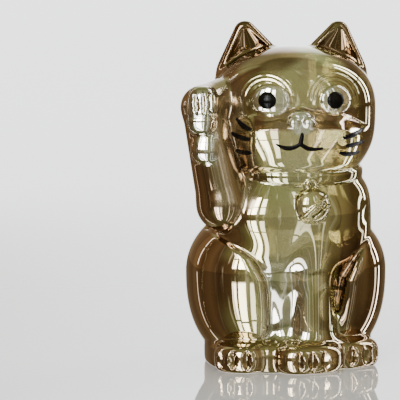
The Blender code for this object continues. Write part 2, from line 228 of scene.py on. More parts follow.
def ear(q, side):
    """A leaning cone, flattened front to back, with a hollow that leans back as it rises."""
    outer = round_cone(q, (side * 11.2, 3, 81.8), (side * 13.5, 3, 94.8), 10.8, 3.2, 0.62)
    sheared = q.copy()
    sheared[:, 1] -= np.clip((q[:, 2] - 84) / 9.8, -0.5, 1.2) * 2.2
    foot, tip = (side * 11.6, -1.6, 84), (side * 13.45, -1.6, 93.9)
    return cut(outer, round_cone(sheared, foot, tip, 8.3, 2.1, 0.42), 0.5)


def eye(q, side, d):
    """The raised white of an eye, and the faint groove of the socket round it."""
    across, up = q[:, 0] - side * EYE_ACROSS, q[:, 2] - EYE_UP
    front = q[:, 1] < -8
    socket_radius, socket_width = 5.7, 0.7
    above = 1 / (1 + np.exp(-(up + 1.0) / 1.2))
    groove = np.exp(-((np.hypot(across, up) - socket_radius) / socket_width) ** 2)
    d = d + front * (0.04 + 0.025 * above) * groove
    shift, wide, tall = EYE_WHITES[side]
    white = np.hypot((across - shift) / wide, up / tall)
    return d - front * (0.45 * step(white, 1.1, 0.9) + 0.35 * np.clip(1 - white**2, 0, 1))


def muzzle_height(q):
    """How far the lower face stands out: a ledge under the eyes, then soft into the chin."""
    across = q[:, 0] - MUZZLE_X
    far = np.abs(across)
    ledge_top, ledge_drop = 73.2, 5.0
    top = ledge_top + 1.2 * np.exp(-(across / 2.6) ** 2) - 0.03 * np.maximum(far - 8, 0) ** 2
    ledge = (top - q[:, 2]) / ledge_drop
    ledge = np.clip(ledge, 0, 1) * step(ledge, -0.05, 0.2)
    sides = step(far, np.where(across < 0, 17.5, 22), np.where(across < 0, 12.5, 10))
    stands_out = 4.6 - 1.3 * step(q[:, 2], 68, 58)
    return stands_out * ledge * sides * step(q[:, 2], 51, 58) * (q[:, 1] < 0)


def head(points):
    """Head with ears, cheeks, muzzle, nose and eyes; the enamel lies on this form."""
    q = figurine_to_head(points)
    d = ball(q, (0, 0, HEAD[2]), (23.6, 19.3, (17.3, 20.3)), 2.25, (2.25, 3.0))
    d = join(d, ball(q, (0, 0, 58), (17.3, 16, 5), profile=3), 1.5)
    for side in (-1, 1):
        d = join(d, ear(q, side), 1.2)
    d = d - muzzle_height(q)
    nose = ball(q, (MUZZLE_X, -21.2, 70.8), (3.4, 2.2, 2.4))
    for side in (-1, 1):
        nose = join(nose, ball(q, (MUZZLE_X + side * 2.0, -23.1, 69.8), (1.8, 1.4, 1.6)), 0.3)
    d = join(d, nose, 0.5)
    for side in (-1, 1):
        d = eye(q, side, d)
    return d


SHELL_SPLIT = 2.0               # the haunches' edges are only in front of this depth
FAR = 9.0                       # further than any rounding reaches
# Where a haunch ends in front, from its foot up: heights and distances from the middle
HAUNCH_EDGES = {
    -1: ((8, 9.4), (15, 9.6), (22, 10.2), (26, 10.8), (32, 14.2), (36, 18.2), (40, 24.0)),
    1: ((8, 10.4), (13, 10.6), (19, 11.5), (25, 12.4), (31, 15.5), (38, 20.0), (41, 24.0)),
}


def haunch(points, side):
    """A thigh lies round the flank like a broad shell, and ends in front along a rounded edge."""
    reach = 24.1 if side > 0 else 25.2
    radii = (reach, (16.5, 21.5), (20.5, 29))
    shell = ball(points, (side * 4.5, 3, 26.5), radii, 2.2, (2, 2.4))
    heights, edges = np.array(HAUNCH_EDGES[side]).T
    ahead = (np.interp(points[:, 2], heights, edges) - side * points[:, 0]) * 0.85
    ahead = np.where(points[:, 1] < SHELL_SPLIT, ahead, -FAR)
    return shared(shell, ahead, 3.5)


def hip(points):
    """The lower shell inside the right haunch's edge, down to a point between the feet."""
    shell = ball(points, (0, 3, 24), (23, (15, 18.9), (16, 26)), 2.2, 2.2)
    right = np.interp(points[:, 2], (8, 13, 21, 28, 33), (-8.5, -7, -3.2, 0, 0.8))
    beyond = np.maximum(points[:, 0] - right, points[:, 2] - 33.2 + 0.12 * points[:, 0])
    beyond = np.where(points[:, 1] < SHELL_SPLIT, beyond * 0.9, FAR)
    return shared(shell, beyond, 2.4)


def body(points):
    """Torso, chest, haunches, hip and feet, and the standing foreleg between them."""
    d = ball(points, (0, 0.5, 39.5), (23.4, 18.3, 18.5), 2.4, (3.6, 2.4))
    d = join(d, ball(points, (0, 2, 21), (20, 14.5, 22), 2.2, 2.6), 3)
    d = join(d, ball(points, (-1.5, -8.5, 43.0), (19.5, 11.2, 12.5), 2.3), 2.0)
    d = join(d, ball(points, (-0.3, 0.6, 3.2), (24.3, 20.5, 7.0), 2.4, 3.5), 1.5)
    for side, foot_x in FOOT_ACROSS.items():
        d = join(d, haunch(points, side), 0.9)
        tilt = (0, 0, side * 25)
        foot = ball(points, (foot_x, FOOT_DEPTH, 3.6), (8.3, 9.6, 5.3), 2.4, 2.8, tilt)
        d = join(d, foot, 0.7)
    d = join(d, hip(points), 0.9)
    d = join(d, round_cone(points, (3.2, -10.8, 40), (2.6, -13.8, 8), 6.4, 6.4), 3.5)
    d = join(d, round_cone(points, (-3.4, -9.6, 27), (-5.8, -12.6, 6), 4.4, 3.6), 2.6)
    return join(d, ball(points, (0.7, -16.6, 3.7), (9.8, 8.0, 5.3), 2.8, 2.8), 0.7)


def arm(points):
    """The raised arm: to the elbow, up, and over to the head, with a wrist pad and a paw."""
    elbow, bend, tilt = (-21.3, -8.5, 46.7), (-27.0, -8.0, 73.9), (-8, 0, -24)
    d = round_cone(points, (-16, -3, 47.5), elbow, 8, 7.3)
    d = join(d, round_cone(points, elbow, bend, 7.3, 5.8), 1.5)
    d = join(d, round_cone(points, bend, (-19, -3.0, 76.3), 5.8, 6), 1.5)
    d = join(d, ball(points, (-26.8, -11.0, 62.5), (4.0, 4.0, 4.7), 2.8, 2.6, tilt), 0.6)
    paw = ball(points, (-28.0, -12.3, 73.0), (4.1, 4.4, 6.9), 3.1, 3.0, tilt)
    crease = np.exp(-((points[:, 2] - 71.4) / 0.45) ** 2) * (points[:, 1] < -12)
    return join(d, paw + 0.28 * crease, 0.6)


def tail(points):
    """A thick curl lying against the back."""
    thick = 4.2
    route = [
        (3 + 10 * math.cos(a), 17.2, 13 + 9 * math.sin(a))
        for a in np.radians(np.linspace(-60, 90, 11))
    ]
    links = [round_cone(points, start, end, thick, thick) for start, end in zip(route, route[1:])]
    return np.minimum.reduce(links)


# Half width, half height and depth
TOE_SLIT = (1.6, 2.9, 1.1)
FINGER_SLIT = (0.75, 3.4, 0.7)
TOE_HEIGHT = 3.9


def slit(points, place, facing, size):
    """A lens-shaped V cut in a surface that faces `facing` degrees from -Y towards +X."""
    half_width, half_height, depth = size
    a = math.radians(facing)
    q = points - np.asarray(place, float)
    across = q[:, 0] * math.cos(a) + q[:, 1] * math.sin(a)
    outward = q[:, 0] * math.sin(a) - q[:, 1] * math.cos(a)
    width = np.maximum(half_width * (1 - (q[:, 2] / half_height) ** 2), 1e-3)
    near = (np.abs(q[:, 2]) < half_height) & (np.abs(outward) < 4)
    return near * depth * np.clip(1 - np.abs(across) / width, 0, 1) * np.sqrt(width / half_width)


def slits(points):
    """Grooves between the toes of all three feet, and between the fingers of the paw."""
    total = 0
    for x, facing in ((-3.3, -8), (0.5, 0), (4.2, 8)):
        total = total + slit(points, (x, -24.3, TOE_HEIGHT), facing, TOE_SLIT)
    for side, facings in ((-1, (8, 33, 59)), (1, (-5, 22, 46))):
        for facing in facings:
            a = math.radians(facing)
            x = FOOT_ACROSS[side] + side * 8.9 * math.sin(a)
            place = (x, FOOT_DEPTH - 9.2 * math.cos(a), TOE_HEIGHT)
            total = total + slit(points, place, side * facing, TOE_SLIT)
    for x in (-30.3, -28.5, -26.7):
        total = total + slit(points, (x, -16.6, 75.2), 0, FINGER_SLIT)
    return total


def bell(points):
    """A round bell with a slanting belt, a slot that ends in a hole, and a loop on top."""
    centre = (1.6, -18.6, 46.6)
    slant = (0, -40, 0)
    d = ball(points, centre, (5, 3.7, 5))
    d = join(d, ring(points, centre, 5.0, 0.5, slant, 0.76), 0.25)
    q = placed(points, centre, slant)
    d = cut(d, ball(q, (-0.2, -3.4, -1.9), (2.7, 1.5, 0.42)), 0.2)
    d = cut(d, ball(q, (2.4, -2.9, -1.9), (0.95, 1.5, 0.95)), 0.2)
    return join(d, ring(points, (1.6, -18.6, 52.4), 1.3, 0.6, (90, 0, 0)), 0.4)


def collar(points):
    """An oval band with a boxy section, a little lower in front."""
    across, deep, half_thick, half_tall, mean = 18.4, 17.0, 1.7, 2.0, 1.8
    q = placed(points, (0.9, 0, 55.1), (3, 0, 0))
    r = np.hypot(q[:, 0] / across, q[:, 1] / deep) + 1e-9
    slope = np.hypot(q[:, 0] / across**2, q[:, 1] / deep**2) / r
    out = (r - 1) / slope
    section = (np.abs(out / half_thick) ** 3 + np.abs(q[:, 2] / half_tall) ** 3) ** (1 / 3)
    return section * mean - mean


def cat(points):
    """The whole casting, cut flat and rounded along its foot."""
    d = join(body(points), tail(points), 0.8)
    d = join(d, arm(points), 1.2)
    d = join(d, head(points), 0.8)
    d = join(d, collar(points), 0.35)
    d = join(d, bell(points), 0.35) + slits(points)
    return cut(d, points[:, 2], 0.8)


# ---------------------------------------------------------------- mesh of a form

def grid_cells(counts):
    """The whole numbers of every cell of a grid, one row to a cell."""
    ranges = [np.arange(n) for n in counts]
    return np.stack(np.meshgrid(*ranges, indexing="ij"), -1).reshape(-1, 3)


def grid_values(field, low, counts, spacing, block=5):
    """The field on a grid, worked out only in the blocks of cells the surface may cross."""
    blocks = -(-counts // block)
    centres = grid_cells(blocks)
    coarse = field(low + (centres * block + (block - 1) / 2) * spacing)
    values = coarse.reshape(blocks)
    for axis in range(3):
        values = np.repeat(values, block, axis)
    values = values.copy()
    inner = grid_cells([block] * 3)
    near = centres[np.abs(coarse) < block * spacing * 1.4 + 1.0]
    for part in np.array_split(near, max(1, len(near) // 4000)):
        cells = (part[:, None] * block + inner).reshape(-1, 3)
        values[tuple(cells.T)] = field(low + cells * spacing)
    return values


def surface_net(values, low, spacing):
    """A closed quad mesh, one vertex to each grid cell that the surface crosses."""
    inside = values < 0
    n = np.array(values.shape) - 1
    corners = [np.array([i, j, k]) for i in (0, 1) for j in (0, 1) for k in (0, 1)]
    count = 0
    for i, j, k in corners:
        count = count + inside[i:n[0] + i, j:n[1] + j, k:n[2] + k].astype(np.int8)
    active = (count > 0) & (count < 8)
    cells = np.argwhere(active)
    index = np.full(active.shape, -1, np.int64)
    index[active] = np.arange(len(cells))
    total, hits = np.zeros((len(cells), 3)), np.zeros(len(cells))
    for corner in corners:
        for axis in range(3):
            if corner[axis]:
                continue
            other = corner.copy()
            other[axis] = 1
            first, last = values[tuple((cells + corner).T)], values[tuple((cells + other).T)]
            crossed = (first < 0) != (last < 0)
            t = np.where(crossed, first / np.where(crossed, first - last, 1), 0)
            total += crossed[:, None] * (cells + corner + t[:, None] * (other - corner))
            hits += crossed
    quads = []
    for axis in range(3):
        b, c = (axis + 1) % 3, (axis + 2) % 3
        near, far = [slice(1, -1)] * 3, [slice(1, -1)] * 3
        near[axis], far[axis] = slice(0, -1), slice(1, None)
        first, last = inside[tuple(near)], inside[tuple(far)]
        at = np.argwhere(first != last)
        leaving = first[first != last]
        at[:, b] += 1
        at[:, c] += 1
        corner_cells = []
        for db, dc in ((-1, -1), (0, -1), (0, 0), (-1, 0)):
            cell = at.copy()
            cell[:, b] += db
            cell[:, c] += dc
            corner_cells.append(index[tuple(cell.T)])
        faces = np.stack(corner_cells, 1)
        faces[~leaving] = faces[~leaving][:, ::-1]
        quads.append(faces)
    return low + spacing * (total / hits[:, None]), np.concatenate(quads)


def gradient(field, points, reach=0.03):
    """How steeply the field rises along each axis."""
    slopes = np.empty_like(points)
    for axis in range(3):
        shift = np.zeros(3)
        shift[axis] = reach
        slopes[:, axis] = (field(points + shift) - field(points - shift)) / (2 * reach)
    return slopes


def settled(field, points, rounds):
    """Points moved onto the surface, with short steps where the field is nearly flat."""
    for _ in range(rounds):
        slope = gradient(field, points)
        steepness = np.maximum((slope**2).sum(1), 0.05)
        points = points - slope * (field(points) / steepness)[:, None]
    return points


def form_object(name, field, low, high, spacing):
    """A form as an object, from the part of it between two corners, on a grid of that spacing."""
    low, high = np.array(low, float), np.array(high, float)
    counts = np.ceil((high - low) / spacing).astype(int) + 1
    points, faces = surface_net(grid_values(field, low, counts, spacing), low, spacing)
    points = settled(field, points, 2)
    slope = gradient(field, points)
    normals = slope / np.linalg.norm(slope, axis=1)[:, None]
    mesh = bpy.data.meshes.new(name)
    mesh.from_pydata((points * MM + OFFSET).tolist(), [], faces.tolist())
    mesh.shade_smooth()
    mesh.normals_split_custom_set_from_vertices(normals.tolist())
    obj = bpy.data.objects.new(name, mesh)
    bpy.context.scene.collection.objects.link(obj)
    return obj


# ---------------------------------------------------------------- materials

class Nodes:
    """Short calls for building a node tree."""

    def __init__(self, tree):
        self.tree = tree

    def add(self, kind, values=None, **settings):
        """A node with its settings; its inputs are set, or linked where a value is a socket."""
        node = self.tree.nodes.new(kind)
        for key, value in settings.items():
            setattr(node, key, value)
        for key, value in (values or {}).items():
            if isinstance(value, bpy.types.NodeSocket):
                self.tree.links.new(value, node.inputs[key])
            else:
                node.inputs[key].default_value = value
        return node

    def math(self, operation, *values):
        return self.add("ShaderNodeMath", dict(enumerate(values)), operation=operation).outputs[0]

    def fit(self, value, low, high, to_low=0.0, to_high=1.0):
        """Value smoothly mapped from the first range to the second."""
        node = self.add(
            "ShaderNodeMapRange", {0: value, 1: low, 2: high, 3: to_low, 4: to_high},
            interpolation_type="SMOOTHSTEP",
        )
        return node.outputs[0]

    def zone(self, *edges):
        """Where all edges overlap: each a value, where its share is none and where it is full."""
        inside = None
        for value, none, full in edges:
            share = self.fit(value, none, full)
            inside = share if inside is None else self.math("MULTIPLY", inside, share)
        return inside

    def squares(self, a, b):
        """The square of a plus the square of b."""
        return self.math("ADD", self.math("POWER", a, 2.0), self.math("POWER", b, 2.0))

    def parts(self, vector):
        return self.add("ShaderNodeSeparateXYZ", {0: vector}).outputs

    def noise(self, place, scale, detail=2.0, roughness=0.5, distortion=0.0):
        values = {
            "Vector": place, "Scale": scale, "Detail": detail,
            "Roughness": roughness, "Distortion": distortion,
        }
        return self.add("ShaderNodeTexNoise", values).outputs["Fac"]

    def bump(self, height, distance, normal=None, strength=1.0):
        values = {"Strength": strength, "Distance": distance, "Height": height}
        if normal is not None:
            values["Normal"] = normal
        return self.add("ShaderNodeBump", values).outputs[0]

    def mix(self, factor, a, b):
        """Colour a going to colour b with factor."""
        node = self.add("ShaderNodeMix", data_type="RGBA")
        for socket, value in zip((node.inputs[0], node.inputs[6], node.inputs[7]), (factor, a, b)):
            if isinstance(value, bpy.types.NodeSocket):
                self.tree.links.new(value, socket)
            elif isinstance(value, tuple):
                socket.default_value = (*value, 1.0)
            else:
                socket.default_value = value
        return node.outputs[2]


def new_material(name):
    """A material with its short calls, its shader and its place in object coordinates."""
    material = bpy.data.materials.new(name)
    material.use_nodes = True
    nodes = Nodes(material.node_tree)
    shader = material.node_tree.nodes["Principled BSDF"]
    place = nodes.add("ShaderNodeTexCoord").outputs["Object"]
    return material, nodes, shader, place


# The lustre's two tones where it is thin, then tones laid over it in turn, by zone, each with how
# fully it covers. Painted shade: the darkened sides, the ears, the shelf, the cleft and the wall.
# Painted highlights: the nose, the lobe, and the eye whites with the palm. Rosy is tone at random.
THIN_TONES = ((0.56, 0.50, 0.25), (0.52, 0.52, 0.28))
TONES = (
    ("painted_side_shade", 1.0, (0.44, 0.32, 0.20)),
    ("ears", 1.0, (0.21, 0.13, 0.06)),
    ("rosy", 0.6, (0.52, 0.36, 0.22)),
    ("shelf_shade", 1.0, (0.35, 0.24, 0.14)),
    ("cleft_shade", 1.0, (0.37, 0.29, 0.19)),
    ("nose", 1.0, (0.66, 0.68, 0.60)),
    ("wall_shade", 0.85, (0.20, 0.13, 0.07)),
    ("lobe_highlight", 0.7, (0.84, 0.84, 0.74)),
    ("painted_highlights", 1.0, (0.88, 0.86, 0.76)),
)
LID_PITCH, LID_DEPTH = 0.00115, 0.00004      # of the eyelids' creases
SWELL_DEPTH = 0.00012                        # of the waves in the glass
METALLIC_THIN, METALLIC_GAIN = 0.60, 0.34    # where the lustre is thin, and more on the sides painted dark as painted shade
CLEFT_DULLNESS = 0.16


def eye_marks(nodes, place):
    """Where the whites of the eyes lie, given a pale tone as painted highlights, and the creases of
    the eyelids as a height.
    """
    painted_highlights = lids = 0.0
    for side, (shift, wide, tall) in EYE_WHITES.items():
        middle = head_to_figurine((side * EYE_ACROSS, PUPIL_FRONT, EYE_UP))[0] * MM + OFFSET
        off = nodes.add("ShaderNodeVectorMath", {0: place, 1: tuple(middle)}, operation="SUBTRACT")
        turn = {0: off.outputs[0], "Angle": math.radians(-HEAD_TURN)}
        turned = nodes.add("ShaderNodeVectorRotate", turn).outputs[0]
        across, depth, up = nodes.parts(turned)
        on_face = nodes.math("LESS_THAN", depth, 0.012)
        u = nodes.math("DIVIDE", nodes.math("SUBTRACT", across, shift * MM), wide * MM)
        v = nodes.math("DIVIDE", up, tall * MM)
        white = nodes.math("MULTIPLY", nodes.fit(nodes.squares(u, v), 1.1, 0.85), on_face)
        r = nodes.math("SQRT", nodes.squares(across, up))
        band = nodes.zone((r, 0.0048, 0.0054), (r, 0.0084, 0.0074), (up, -0.001, 0.0025))
        waves = nodes.math("SINE", nodes.math("MULTIPLY", r, 2 * math.pi / LID_PITCH))
        creases = nodes.math("MULTIPLY", nodes.math("MULTIPLY", band, on_face), waves)
        painted_highlights = nodes.math("ADD", painted_highlights, white)
        lids = nodes.math("ADD", lids, creases)
    return painted_highlights, lids


def tone_and_painted_light_zones(nodes, place):
    """How far the zones reach, each from 0 to 1, most of them painted shade or painted highlights,
    and how the lustre drifts between thin tones at random.

    The edges are in metres in the row frame, some of them from the figurine's own middle.
    """
    x, y, z = nodes.parts(place)
    middle = float(OFFSET[0])
    drift = nodes.noise(place, 38, 1.5)
    outward = nodes.math("ABSOLUTE", nodes.math("SUBTRACT", x, middle + 0.003))
    outward = nodes.math("ADD", outward, nodes.fit(drift, 0.3, 0.7, -0.006, 0.006))
    # The cleft between the raised arm and the cheek widens downwards
    beside_arm = nodes.math("MULTIPLY", nodes.fit(z, 0.066, 0.060), 0.003)
    beside_arm = nodes.math("SUBTRACT", x, beside_arm)
    nose_at = head_to_figurine((MUZZLE_X, -22.5, 70.2))[0] * MM + OFFSET
    off = nodes.add("ShaderNodeVectorMath", {0: place, 1: tuple(nose_at)}, operation="DISTANCE")
    from_nose = off.outputs["Value"]
    patches = nodes.noise(place, 55, 1.0, distortion=0.6)
    zones = {
        # Painted shade: the ears in a dark brown tone
        "ears": nodes.zone((z, 0.081, 0.088), (outward, 0.006, 0.011)),
        "rosy": nodes.fit(patches, 0.56, 0.72),
        # Painted highlight: a pale tone round the tip of the nose
        "nose": nodes.fit(from_nose, 0.0042, 0.0034),
        # Painted shade, dark brown, on the ledge under the eyes
        "shelf_shade": nodes.zone(
            (z, 0.0672, 0.0682), (z, 0.0742, 0.0734), (y, -0.013, -0.016), (outward, 0.018, 0.015)
        ),
        # Painted shade, and a duller surface, in the cleft between the raised arm and the cheek
        "cleft_shade": nodes.zone(
            (beside_arm, middle - 0.0155, middle - 0.0180), (x, middle - 0.0265, middle - 0.0240),
            (z, 0.044, 0.048), (z, 0.084, 0.081), (y, 0.006, 0.003),
        ),
        # Painted shade on the side of the left haunch that faces the foreleg
        "wall_shade": nodes.zone(
            (x, middle + 0.0100, middle + 0.0115), (x, middle + 0.0185, middle + 0.0155),
            (z, 0.0105, 0.0125), (z, 0.040, 0.036), (y, -0.004, -0.007),
        ),
        # Painted highlight on the hip between the right haunch and the foreleg
        "lobe_highlight": nodes.zone(
            (x, middle - 0.0125, middle - 0.0105), (x, middle + 0.002, middle),
            (z, 0.008, 0.011), (z, 0.034, 0.029), (y, -0.006, -0.009),
        ),
        # Painted highlight on the palm of the raised paw, which takes the eye whites' pale tone
        "palm_highlight": nodes.zone(
            (y, -0.0105, -0.0135), (z, 0.0565, 0.0605), (x, -0.0215, -0.0235), (x, -0.0315, -0.0295)
        ),
    }
    # Painted shade: a dark brown tone and more metal further out from the middle, on the ears, low
    # on one flank and at the feet
    flank = nodes.zone((x, 0.0118, 0.0135), (z, 0.040, 0.034))
    foot = nodes.fit(z, 0.0105, 0.0085)
    painted_side_shade = nodes.fit(outward, 0.013, 0.024)
    for share, zone in ((1.0, zones["ears"]), (0.9, flank), (0.8, foot)):
        painted_side_shade = nodes.math("MAXIMUM", painted_side_shade, nodes.math("MULTIPLY", zone, share))
    # The painted highlight on the palm is kept free of the painted side shade
    off_palm = nodes.math("SUBTRACT", 1.0, zones["palm_highlight"])
    zones["painted_side_shade"] = nodes.math("MULTIPLY", painted_side_shade, off_palm)
    return zones, nodes.fit(drift, 0.35, 0.65)


def crystal_material():
    """Polished crystal under a half see-through gold lustre whose tone drifts over the surface,
    with painted shade and painted highlights laid on by zone.
    """
    material, nodes, shader, place = new_material("gold_lustre_crystal")
    link = material.node_tree.links.new
    painted_highlights, lids = eye_marks(nodes, place)
    zones, drift = tone_and_painted_light_zones(nodes, place)
    # Painted highlights: the eye whites and the palm share one pale tone
    zones["painted_highlights"] = nodes.math("MAXIMUM", painted_highlights, zones["palm_highlight"])
    tone = nodes.mix(drift, *THIN_TONES)
    for name, share, colour in TONES:
        tone = nodes.mix(nodes.math("MULTIPLY", zones[name], share), tone, colour)
    link(tone, shader.inputs["Base Color"])
    # More metal where the sides are painted dark, as part of the painted shade
    metal = nodes.math("MULTIPLY", zones["painted_side_shade"], METALLIC_GAIN)
    link(nodes.math("ADD", metal, METALLIC_THIN), shader.inputs["Metallic"])
    smears = nodes.fit(nodes.noise(place, 260, 4.0, 0.6), 0.4, 0.8, 0.012, 0.05)
    dulled = nodes.math("MULTIPLY", zones["cleft_shade"], CLEFT_DULLNESS)
    link(nodes.math("ADD", smears, dulled), shader.inputs["Roughness"])
    shader.inputs["Transmission Weight"].default_value = 1.0
    shader.inputs["IOR"].default_value = 1.55
    shader.inputs["Coat Weight"].default_value = 0.3
    shader.inputs["Coat IOR"].default_value = 1.6
    shader.inputs["Coat Roughness"].default_value = 0.015
    swell = nodes.bump(nodes.noise(place, 70, 1.0), SWELL_DEPTH)
    link(nodes.bump(lids, LID_DEPTH, swell), shader.inputs["Normal"])
    return material


def enamel_material():
    """Thick glossy black enamel, a little uneven where the brush laid it."""
    material, nodes, shader, place = new_material("black_enamel")
    link = material.node_tree.links.new
    pooled = nodes.noise(place, 500, 2.0)
    black = nodes.mix(pooled, (0.0015, 0.0013, 0.0012), (0.006, 0.005, 0.004))
    link(black, shader.inputs["Base Color"])
    link(nodes.fit(nodes.noise(place, 900, 3.0), 0.3, 0.7, 0.10, 0.20), shader.inputs["Roughness"])
    link(nodes.bump(pooled, 0.00005, strength=0.5), shader.inputs["Normal"])
    shader.inputs["Specular IOR Level"].default_value = 0.08
    return material


# ---------------------------------------------------------------- pieces

crystal = crystal_material()
enamel = enamel_material()


def finish_piece(obj, node, material):
    """The piece gets its material and rides the root body in place of its CAD node."""
    obj.data.materials.append(material)
    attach(obj, "root")
    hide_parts(node)


casting = form_object("crystal_casting", cat, (-36, -28, -1.5), (30, 26, 100.5), CASTING_SPACING)
finish_piece(casting, "crystal_body", crystal)


def on_face(route):
    """Points on the face, from how far each is across and up, as rows in millimetres."""
    across, up = np.array(route, float).T
    depth = np.full(len(across), -28.0)          # in front of the face
    for _ in range(60):                          # each round goes 0.7 of the way to the surface
        at = head_to_figurine(np.stack([across, depth, up], 1))
        depth = depth + 0.7 * head(at)
    return head_to_figurine(np.stack([across, depth, up], 1))


def brushed(strokes, height):
    """Enamel lying on the head in strokes: each a list of points, and half widths along it."""
    segments = []
    along_stroke = np.linspace(0, 1, 9)
    for points, widths in strokes:
        knots, degree = np.linspace(0, 1, len(points)), len(points) - 1
        curves = [np.polyfit(knots, values, degree) for values in zip(*points)]
        line = on_face(np.array([np.polyval(curve, along_stroke) for curve in curves]).T)
        width = np.interp(along_stroke, np.linspace(0, 1, len(widths)), widths)
        segments += list(zip(line, line[1:], width, width[1:]))

    def field(points):
        lift = head(points)
        best = None
        for start, end, first, last in segments:
            along = end - start
            t = np.clip((points - start) @ along / (along @ along), 0, 1)
            off = ((points - start - t[:, None] * along) ** 2).sum(1)
            width = first + (last - first) * t
            value = np.sqrt(np.maximum(off - lift**2, 0) / width**2 + (lift / height) ** 2)
            best = value if best is None else join(best, value, 0.2)
        return (best - 1) * height

    margin = 1.4
    ends = np.array([part[0] for part in segments] + [part[1] for part in segments])
    return field, ends.min(0) - margin, ends.max(0) + margin


def pupil(side):
    """A disc of enamel with rounded edges, lying on the head."""
    radius, height, roundness, reach = 2.4, 0.8, 2.4, 4
    place = head_to_figurine((side * EYE_ACROSS, PUPIL_FRONT, EYE_UP))[0]

    def field(points):
        q = figurine_to_head(points)
        r = np.hypot(q[:, 0] - side * EYE_ACROSS, q[:, 2] - EYE_UP)
        level = (r / radius) ** roundness + np.abs(head(points) / height) ** roundness
        return (level ** (1 / roundness) - 1) * height

    return field, place - reach, place + reach


# How far across and how high each whisker's outer end, middle and inner end lie
WHISKERS = {
    -1: {
        "upper": ((-17.4, 70.7), (-16.0, 68.9), (-14.2, 68.0)),
        "middle": ((-19.3, 67.0), (-16.8, 65.7), (-14.4, 65.3)),
        "lower": ((-18.7, 62.2), (-16.4, 61.5), (-14.1, 61.6)),
    },
    1: {
        "upper": ((17.8, 67.7), (14.8, 66.4), (11.6, 65.7)),
        "middle": ((18.1, 64.2), (15.3, 63.6), (12.5, 63.4)),
        "lower": ((16.6, 61.3), (13.6, 60.9), (10.7, 61.5)),
    },
}
WHISKER_WIDTHS = (0.4, 0.7, 0.78, 0.5)       # half widths, from the outer end inwards
# The mouth's three strokes: down from the nose, out to each side; their points and half widths
MOUTH = (
    (((-0.4, 66.8), (-0.6, 65.4), (-0.8, 63.9)), (0.45, 0.62, 0.6)),
    (((-0.8, 64.1), (-3.3, 62.95), (-5.4, 63.1), (-7.4, 64.1)), (0.55, 0.7, 0.6, 0.2)),
    (((-0.8, 64.1), (0.6, 63.15), (2.3, 62.6), (5.4, 62.8)), (0.55, 0.62, 0.66, 0.3)),
)

MOUTH_HEIGHT, WHISKER_HEIGHT = 0.42, 0.4

marks = {"mouth_line": brushed(MOUTH, MOUTH_HEIGHT)}
for name in ("left", "right"):
    side = 1 if sum(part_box("pupil_" + name), Vector()).x > 0 else -1
    marks["pupil_" + name] = pupil(side)
    for level, route in WHISKERS[side].items():
        marks[f"whisker_{name}_{level}"] = brushed([(route, WHISKER_WIDTHS)], WHISKER_HEIGHT)

for node, (field, low, high) in marks.items():
    spacing = PUPIL_SPACING if "pupil" in node else STROKE_SPACING
    mark = form_object(node + "_enamel", field, low, high, spacing)
    mark.visible_glossy = mark.visible_transmission = False
    finish_piece(mark, node, enamel)


# ---------------------------------------------------------------- floor, surroundings and light

def add_floor():
    """A pale, slightly glossy table top that fades into the backdrop away from the figurine."""
    mesh = bpy.data.meshes.new("floor")
    shape = bmesh.new()
    bmesh.ops.create_circle(shape, cap_ends=True, radius=FLOOR_RADIUS, segments=96)
    shape.to_mesh(mesh)
    shape.free()
    floor = bpy.data.objects.new("floor", mesh)
    bpy.context.scene.collection.objects.link(floor)
    material, nodes, shader, place = new_material("pale_floor")
    link = material.node_tree.links.new
    cloud = nodes.noise(place, 6, 3.0)
    link(nodes.mix(cloud, (0.57, 0.58, 0.58), (0.63, 0.63, 0.62)), shader.inputs["Base Color"])
    shader.inputs["Metallic"].default_value = 0.35
    link(nodes.fit(nodes.noise(place, 90, 3.0), 0.3, 0.7, 0.015, 0.035), shader.inputs["Roughness"])
    shader.inputs["Specular IOR Level"].default_value = 1.0
    from_middle = nodes.add("ShaderNodeVectorMath", {0: place}, operation="LENGTH").outputs["Value"]
    link(nodes.fit(from_middle, FLOOR_RADIUS * 0.95, FLOOR_RADIUS * 0.25), shader.inputs["Alpha"])
    mesh.materials.append(material)
    floor.visible_glossy = floor.visible_transmission = False


# The room as the crystal sees it, by share of a turn: 0 and 1 lie behind the figurine, 0.5
# lies behind the camera, and more than 0.5 is to the camera's right
ROOM = (
    (0.00, (3.0, 3.05, 3.2)), (0.03, (2.1, 2.1, 2.1)), (0.05, (0.38, 0.29, 0.18)),
    (0.12, (0.27, 0.18, 0.095)), (0.17, (0.42, 0.29, 0.155)), (0.22, (0.18, 0.11, 0.05)),
    (0.28, (0.30, 0.205, 0.11)), (0.33, (0.13, 0.085, 0.04)), (0.40, (0.24, 0.18, 0.09)),
    (0.46, (0.40, 0.38, 0.21)), (0.50, (0.45, 0.47, 0.26)), (0.54, (0.34, 0.34, 0.18)),
    (0.58, (0.42, 0.40, 0.22)), (0.62, (0.38, 0.34, 0.19)), (0.66, (0.46, 0.41, 0.24)),
    (0.70, (0.48, 0.38, 0.21)), (0.77, (0.14, 0.09, 0.042)), (0.85, (0.18, 0.115, 0.055)),
    (0.945, (0.38, 0.29, 0.18)), (0.965, (2.1, 2.0, 1.8)), (1.00, (3.0, 3.05, 3.2)),
)
UPPER_WALL = (0.38, 0.42, 0.20)  # in front of the figurine, above about 25 degrees
UPPER_BACK = (0.75, 0.80, 0.48)  # behind it, above about 45 degrees
CEILING = (0.27, 0.28, 0.13)
WINDOW_COLOUR = (1.0, 1.0, 1.03)
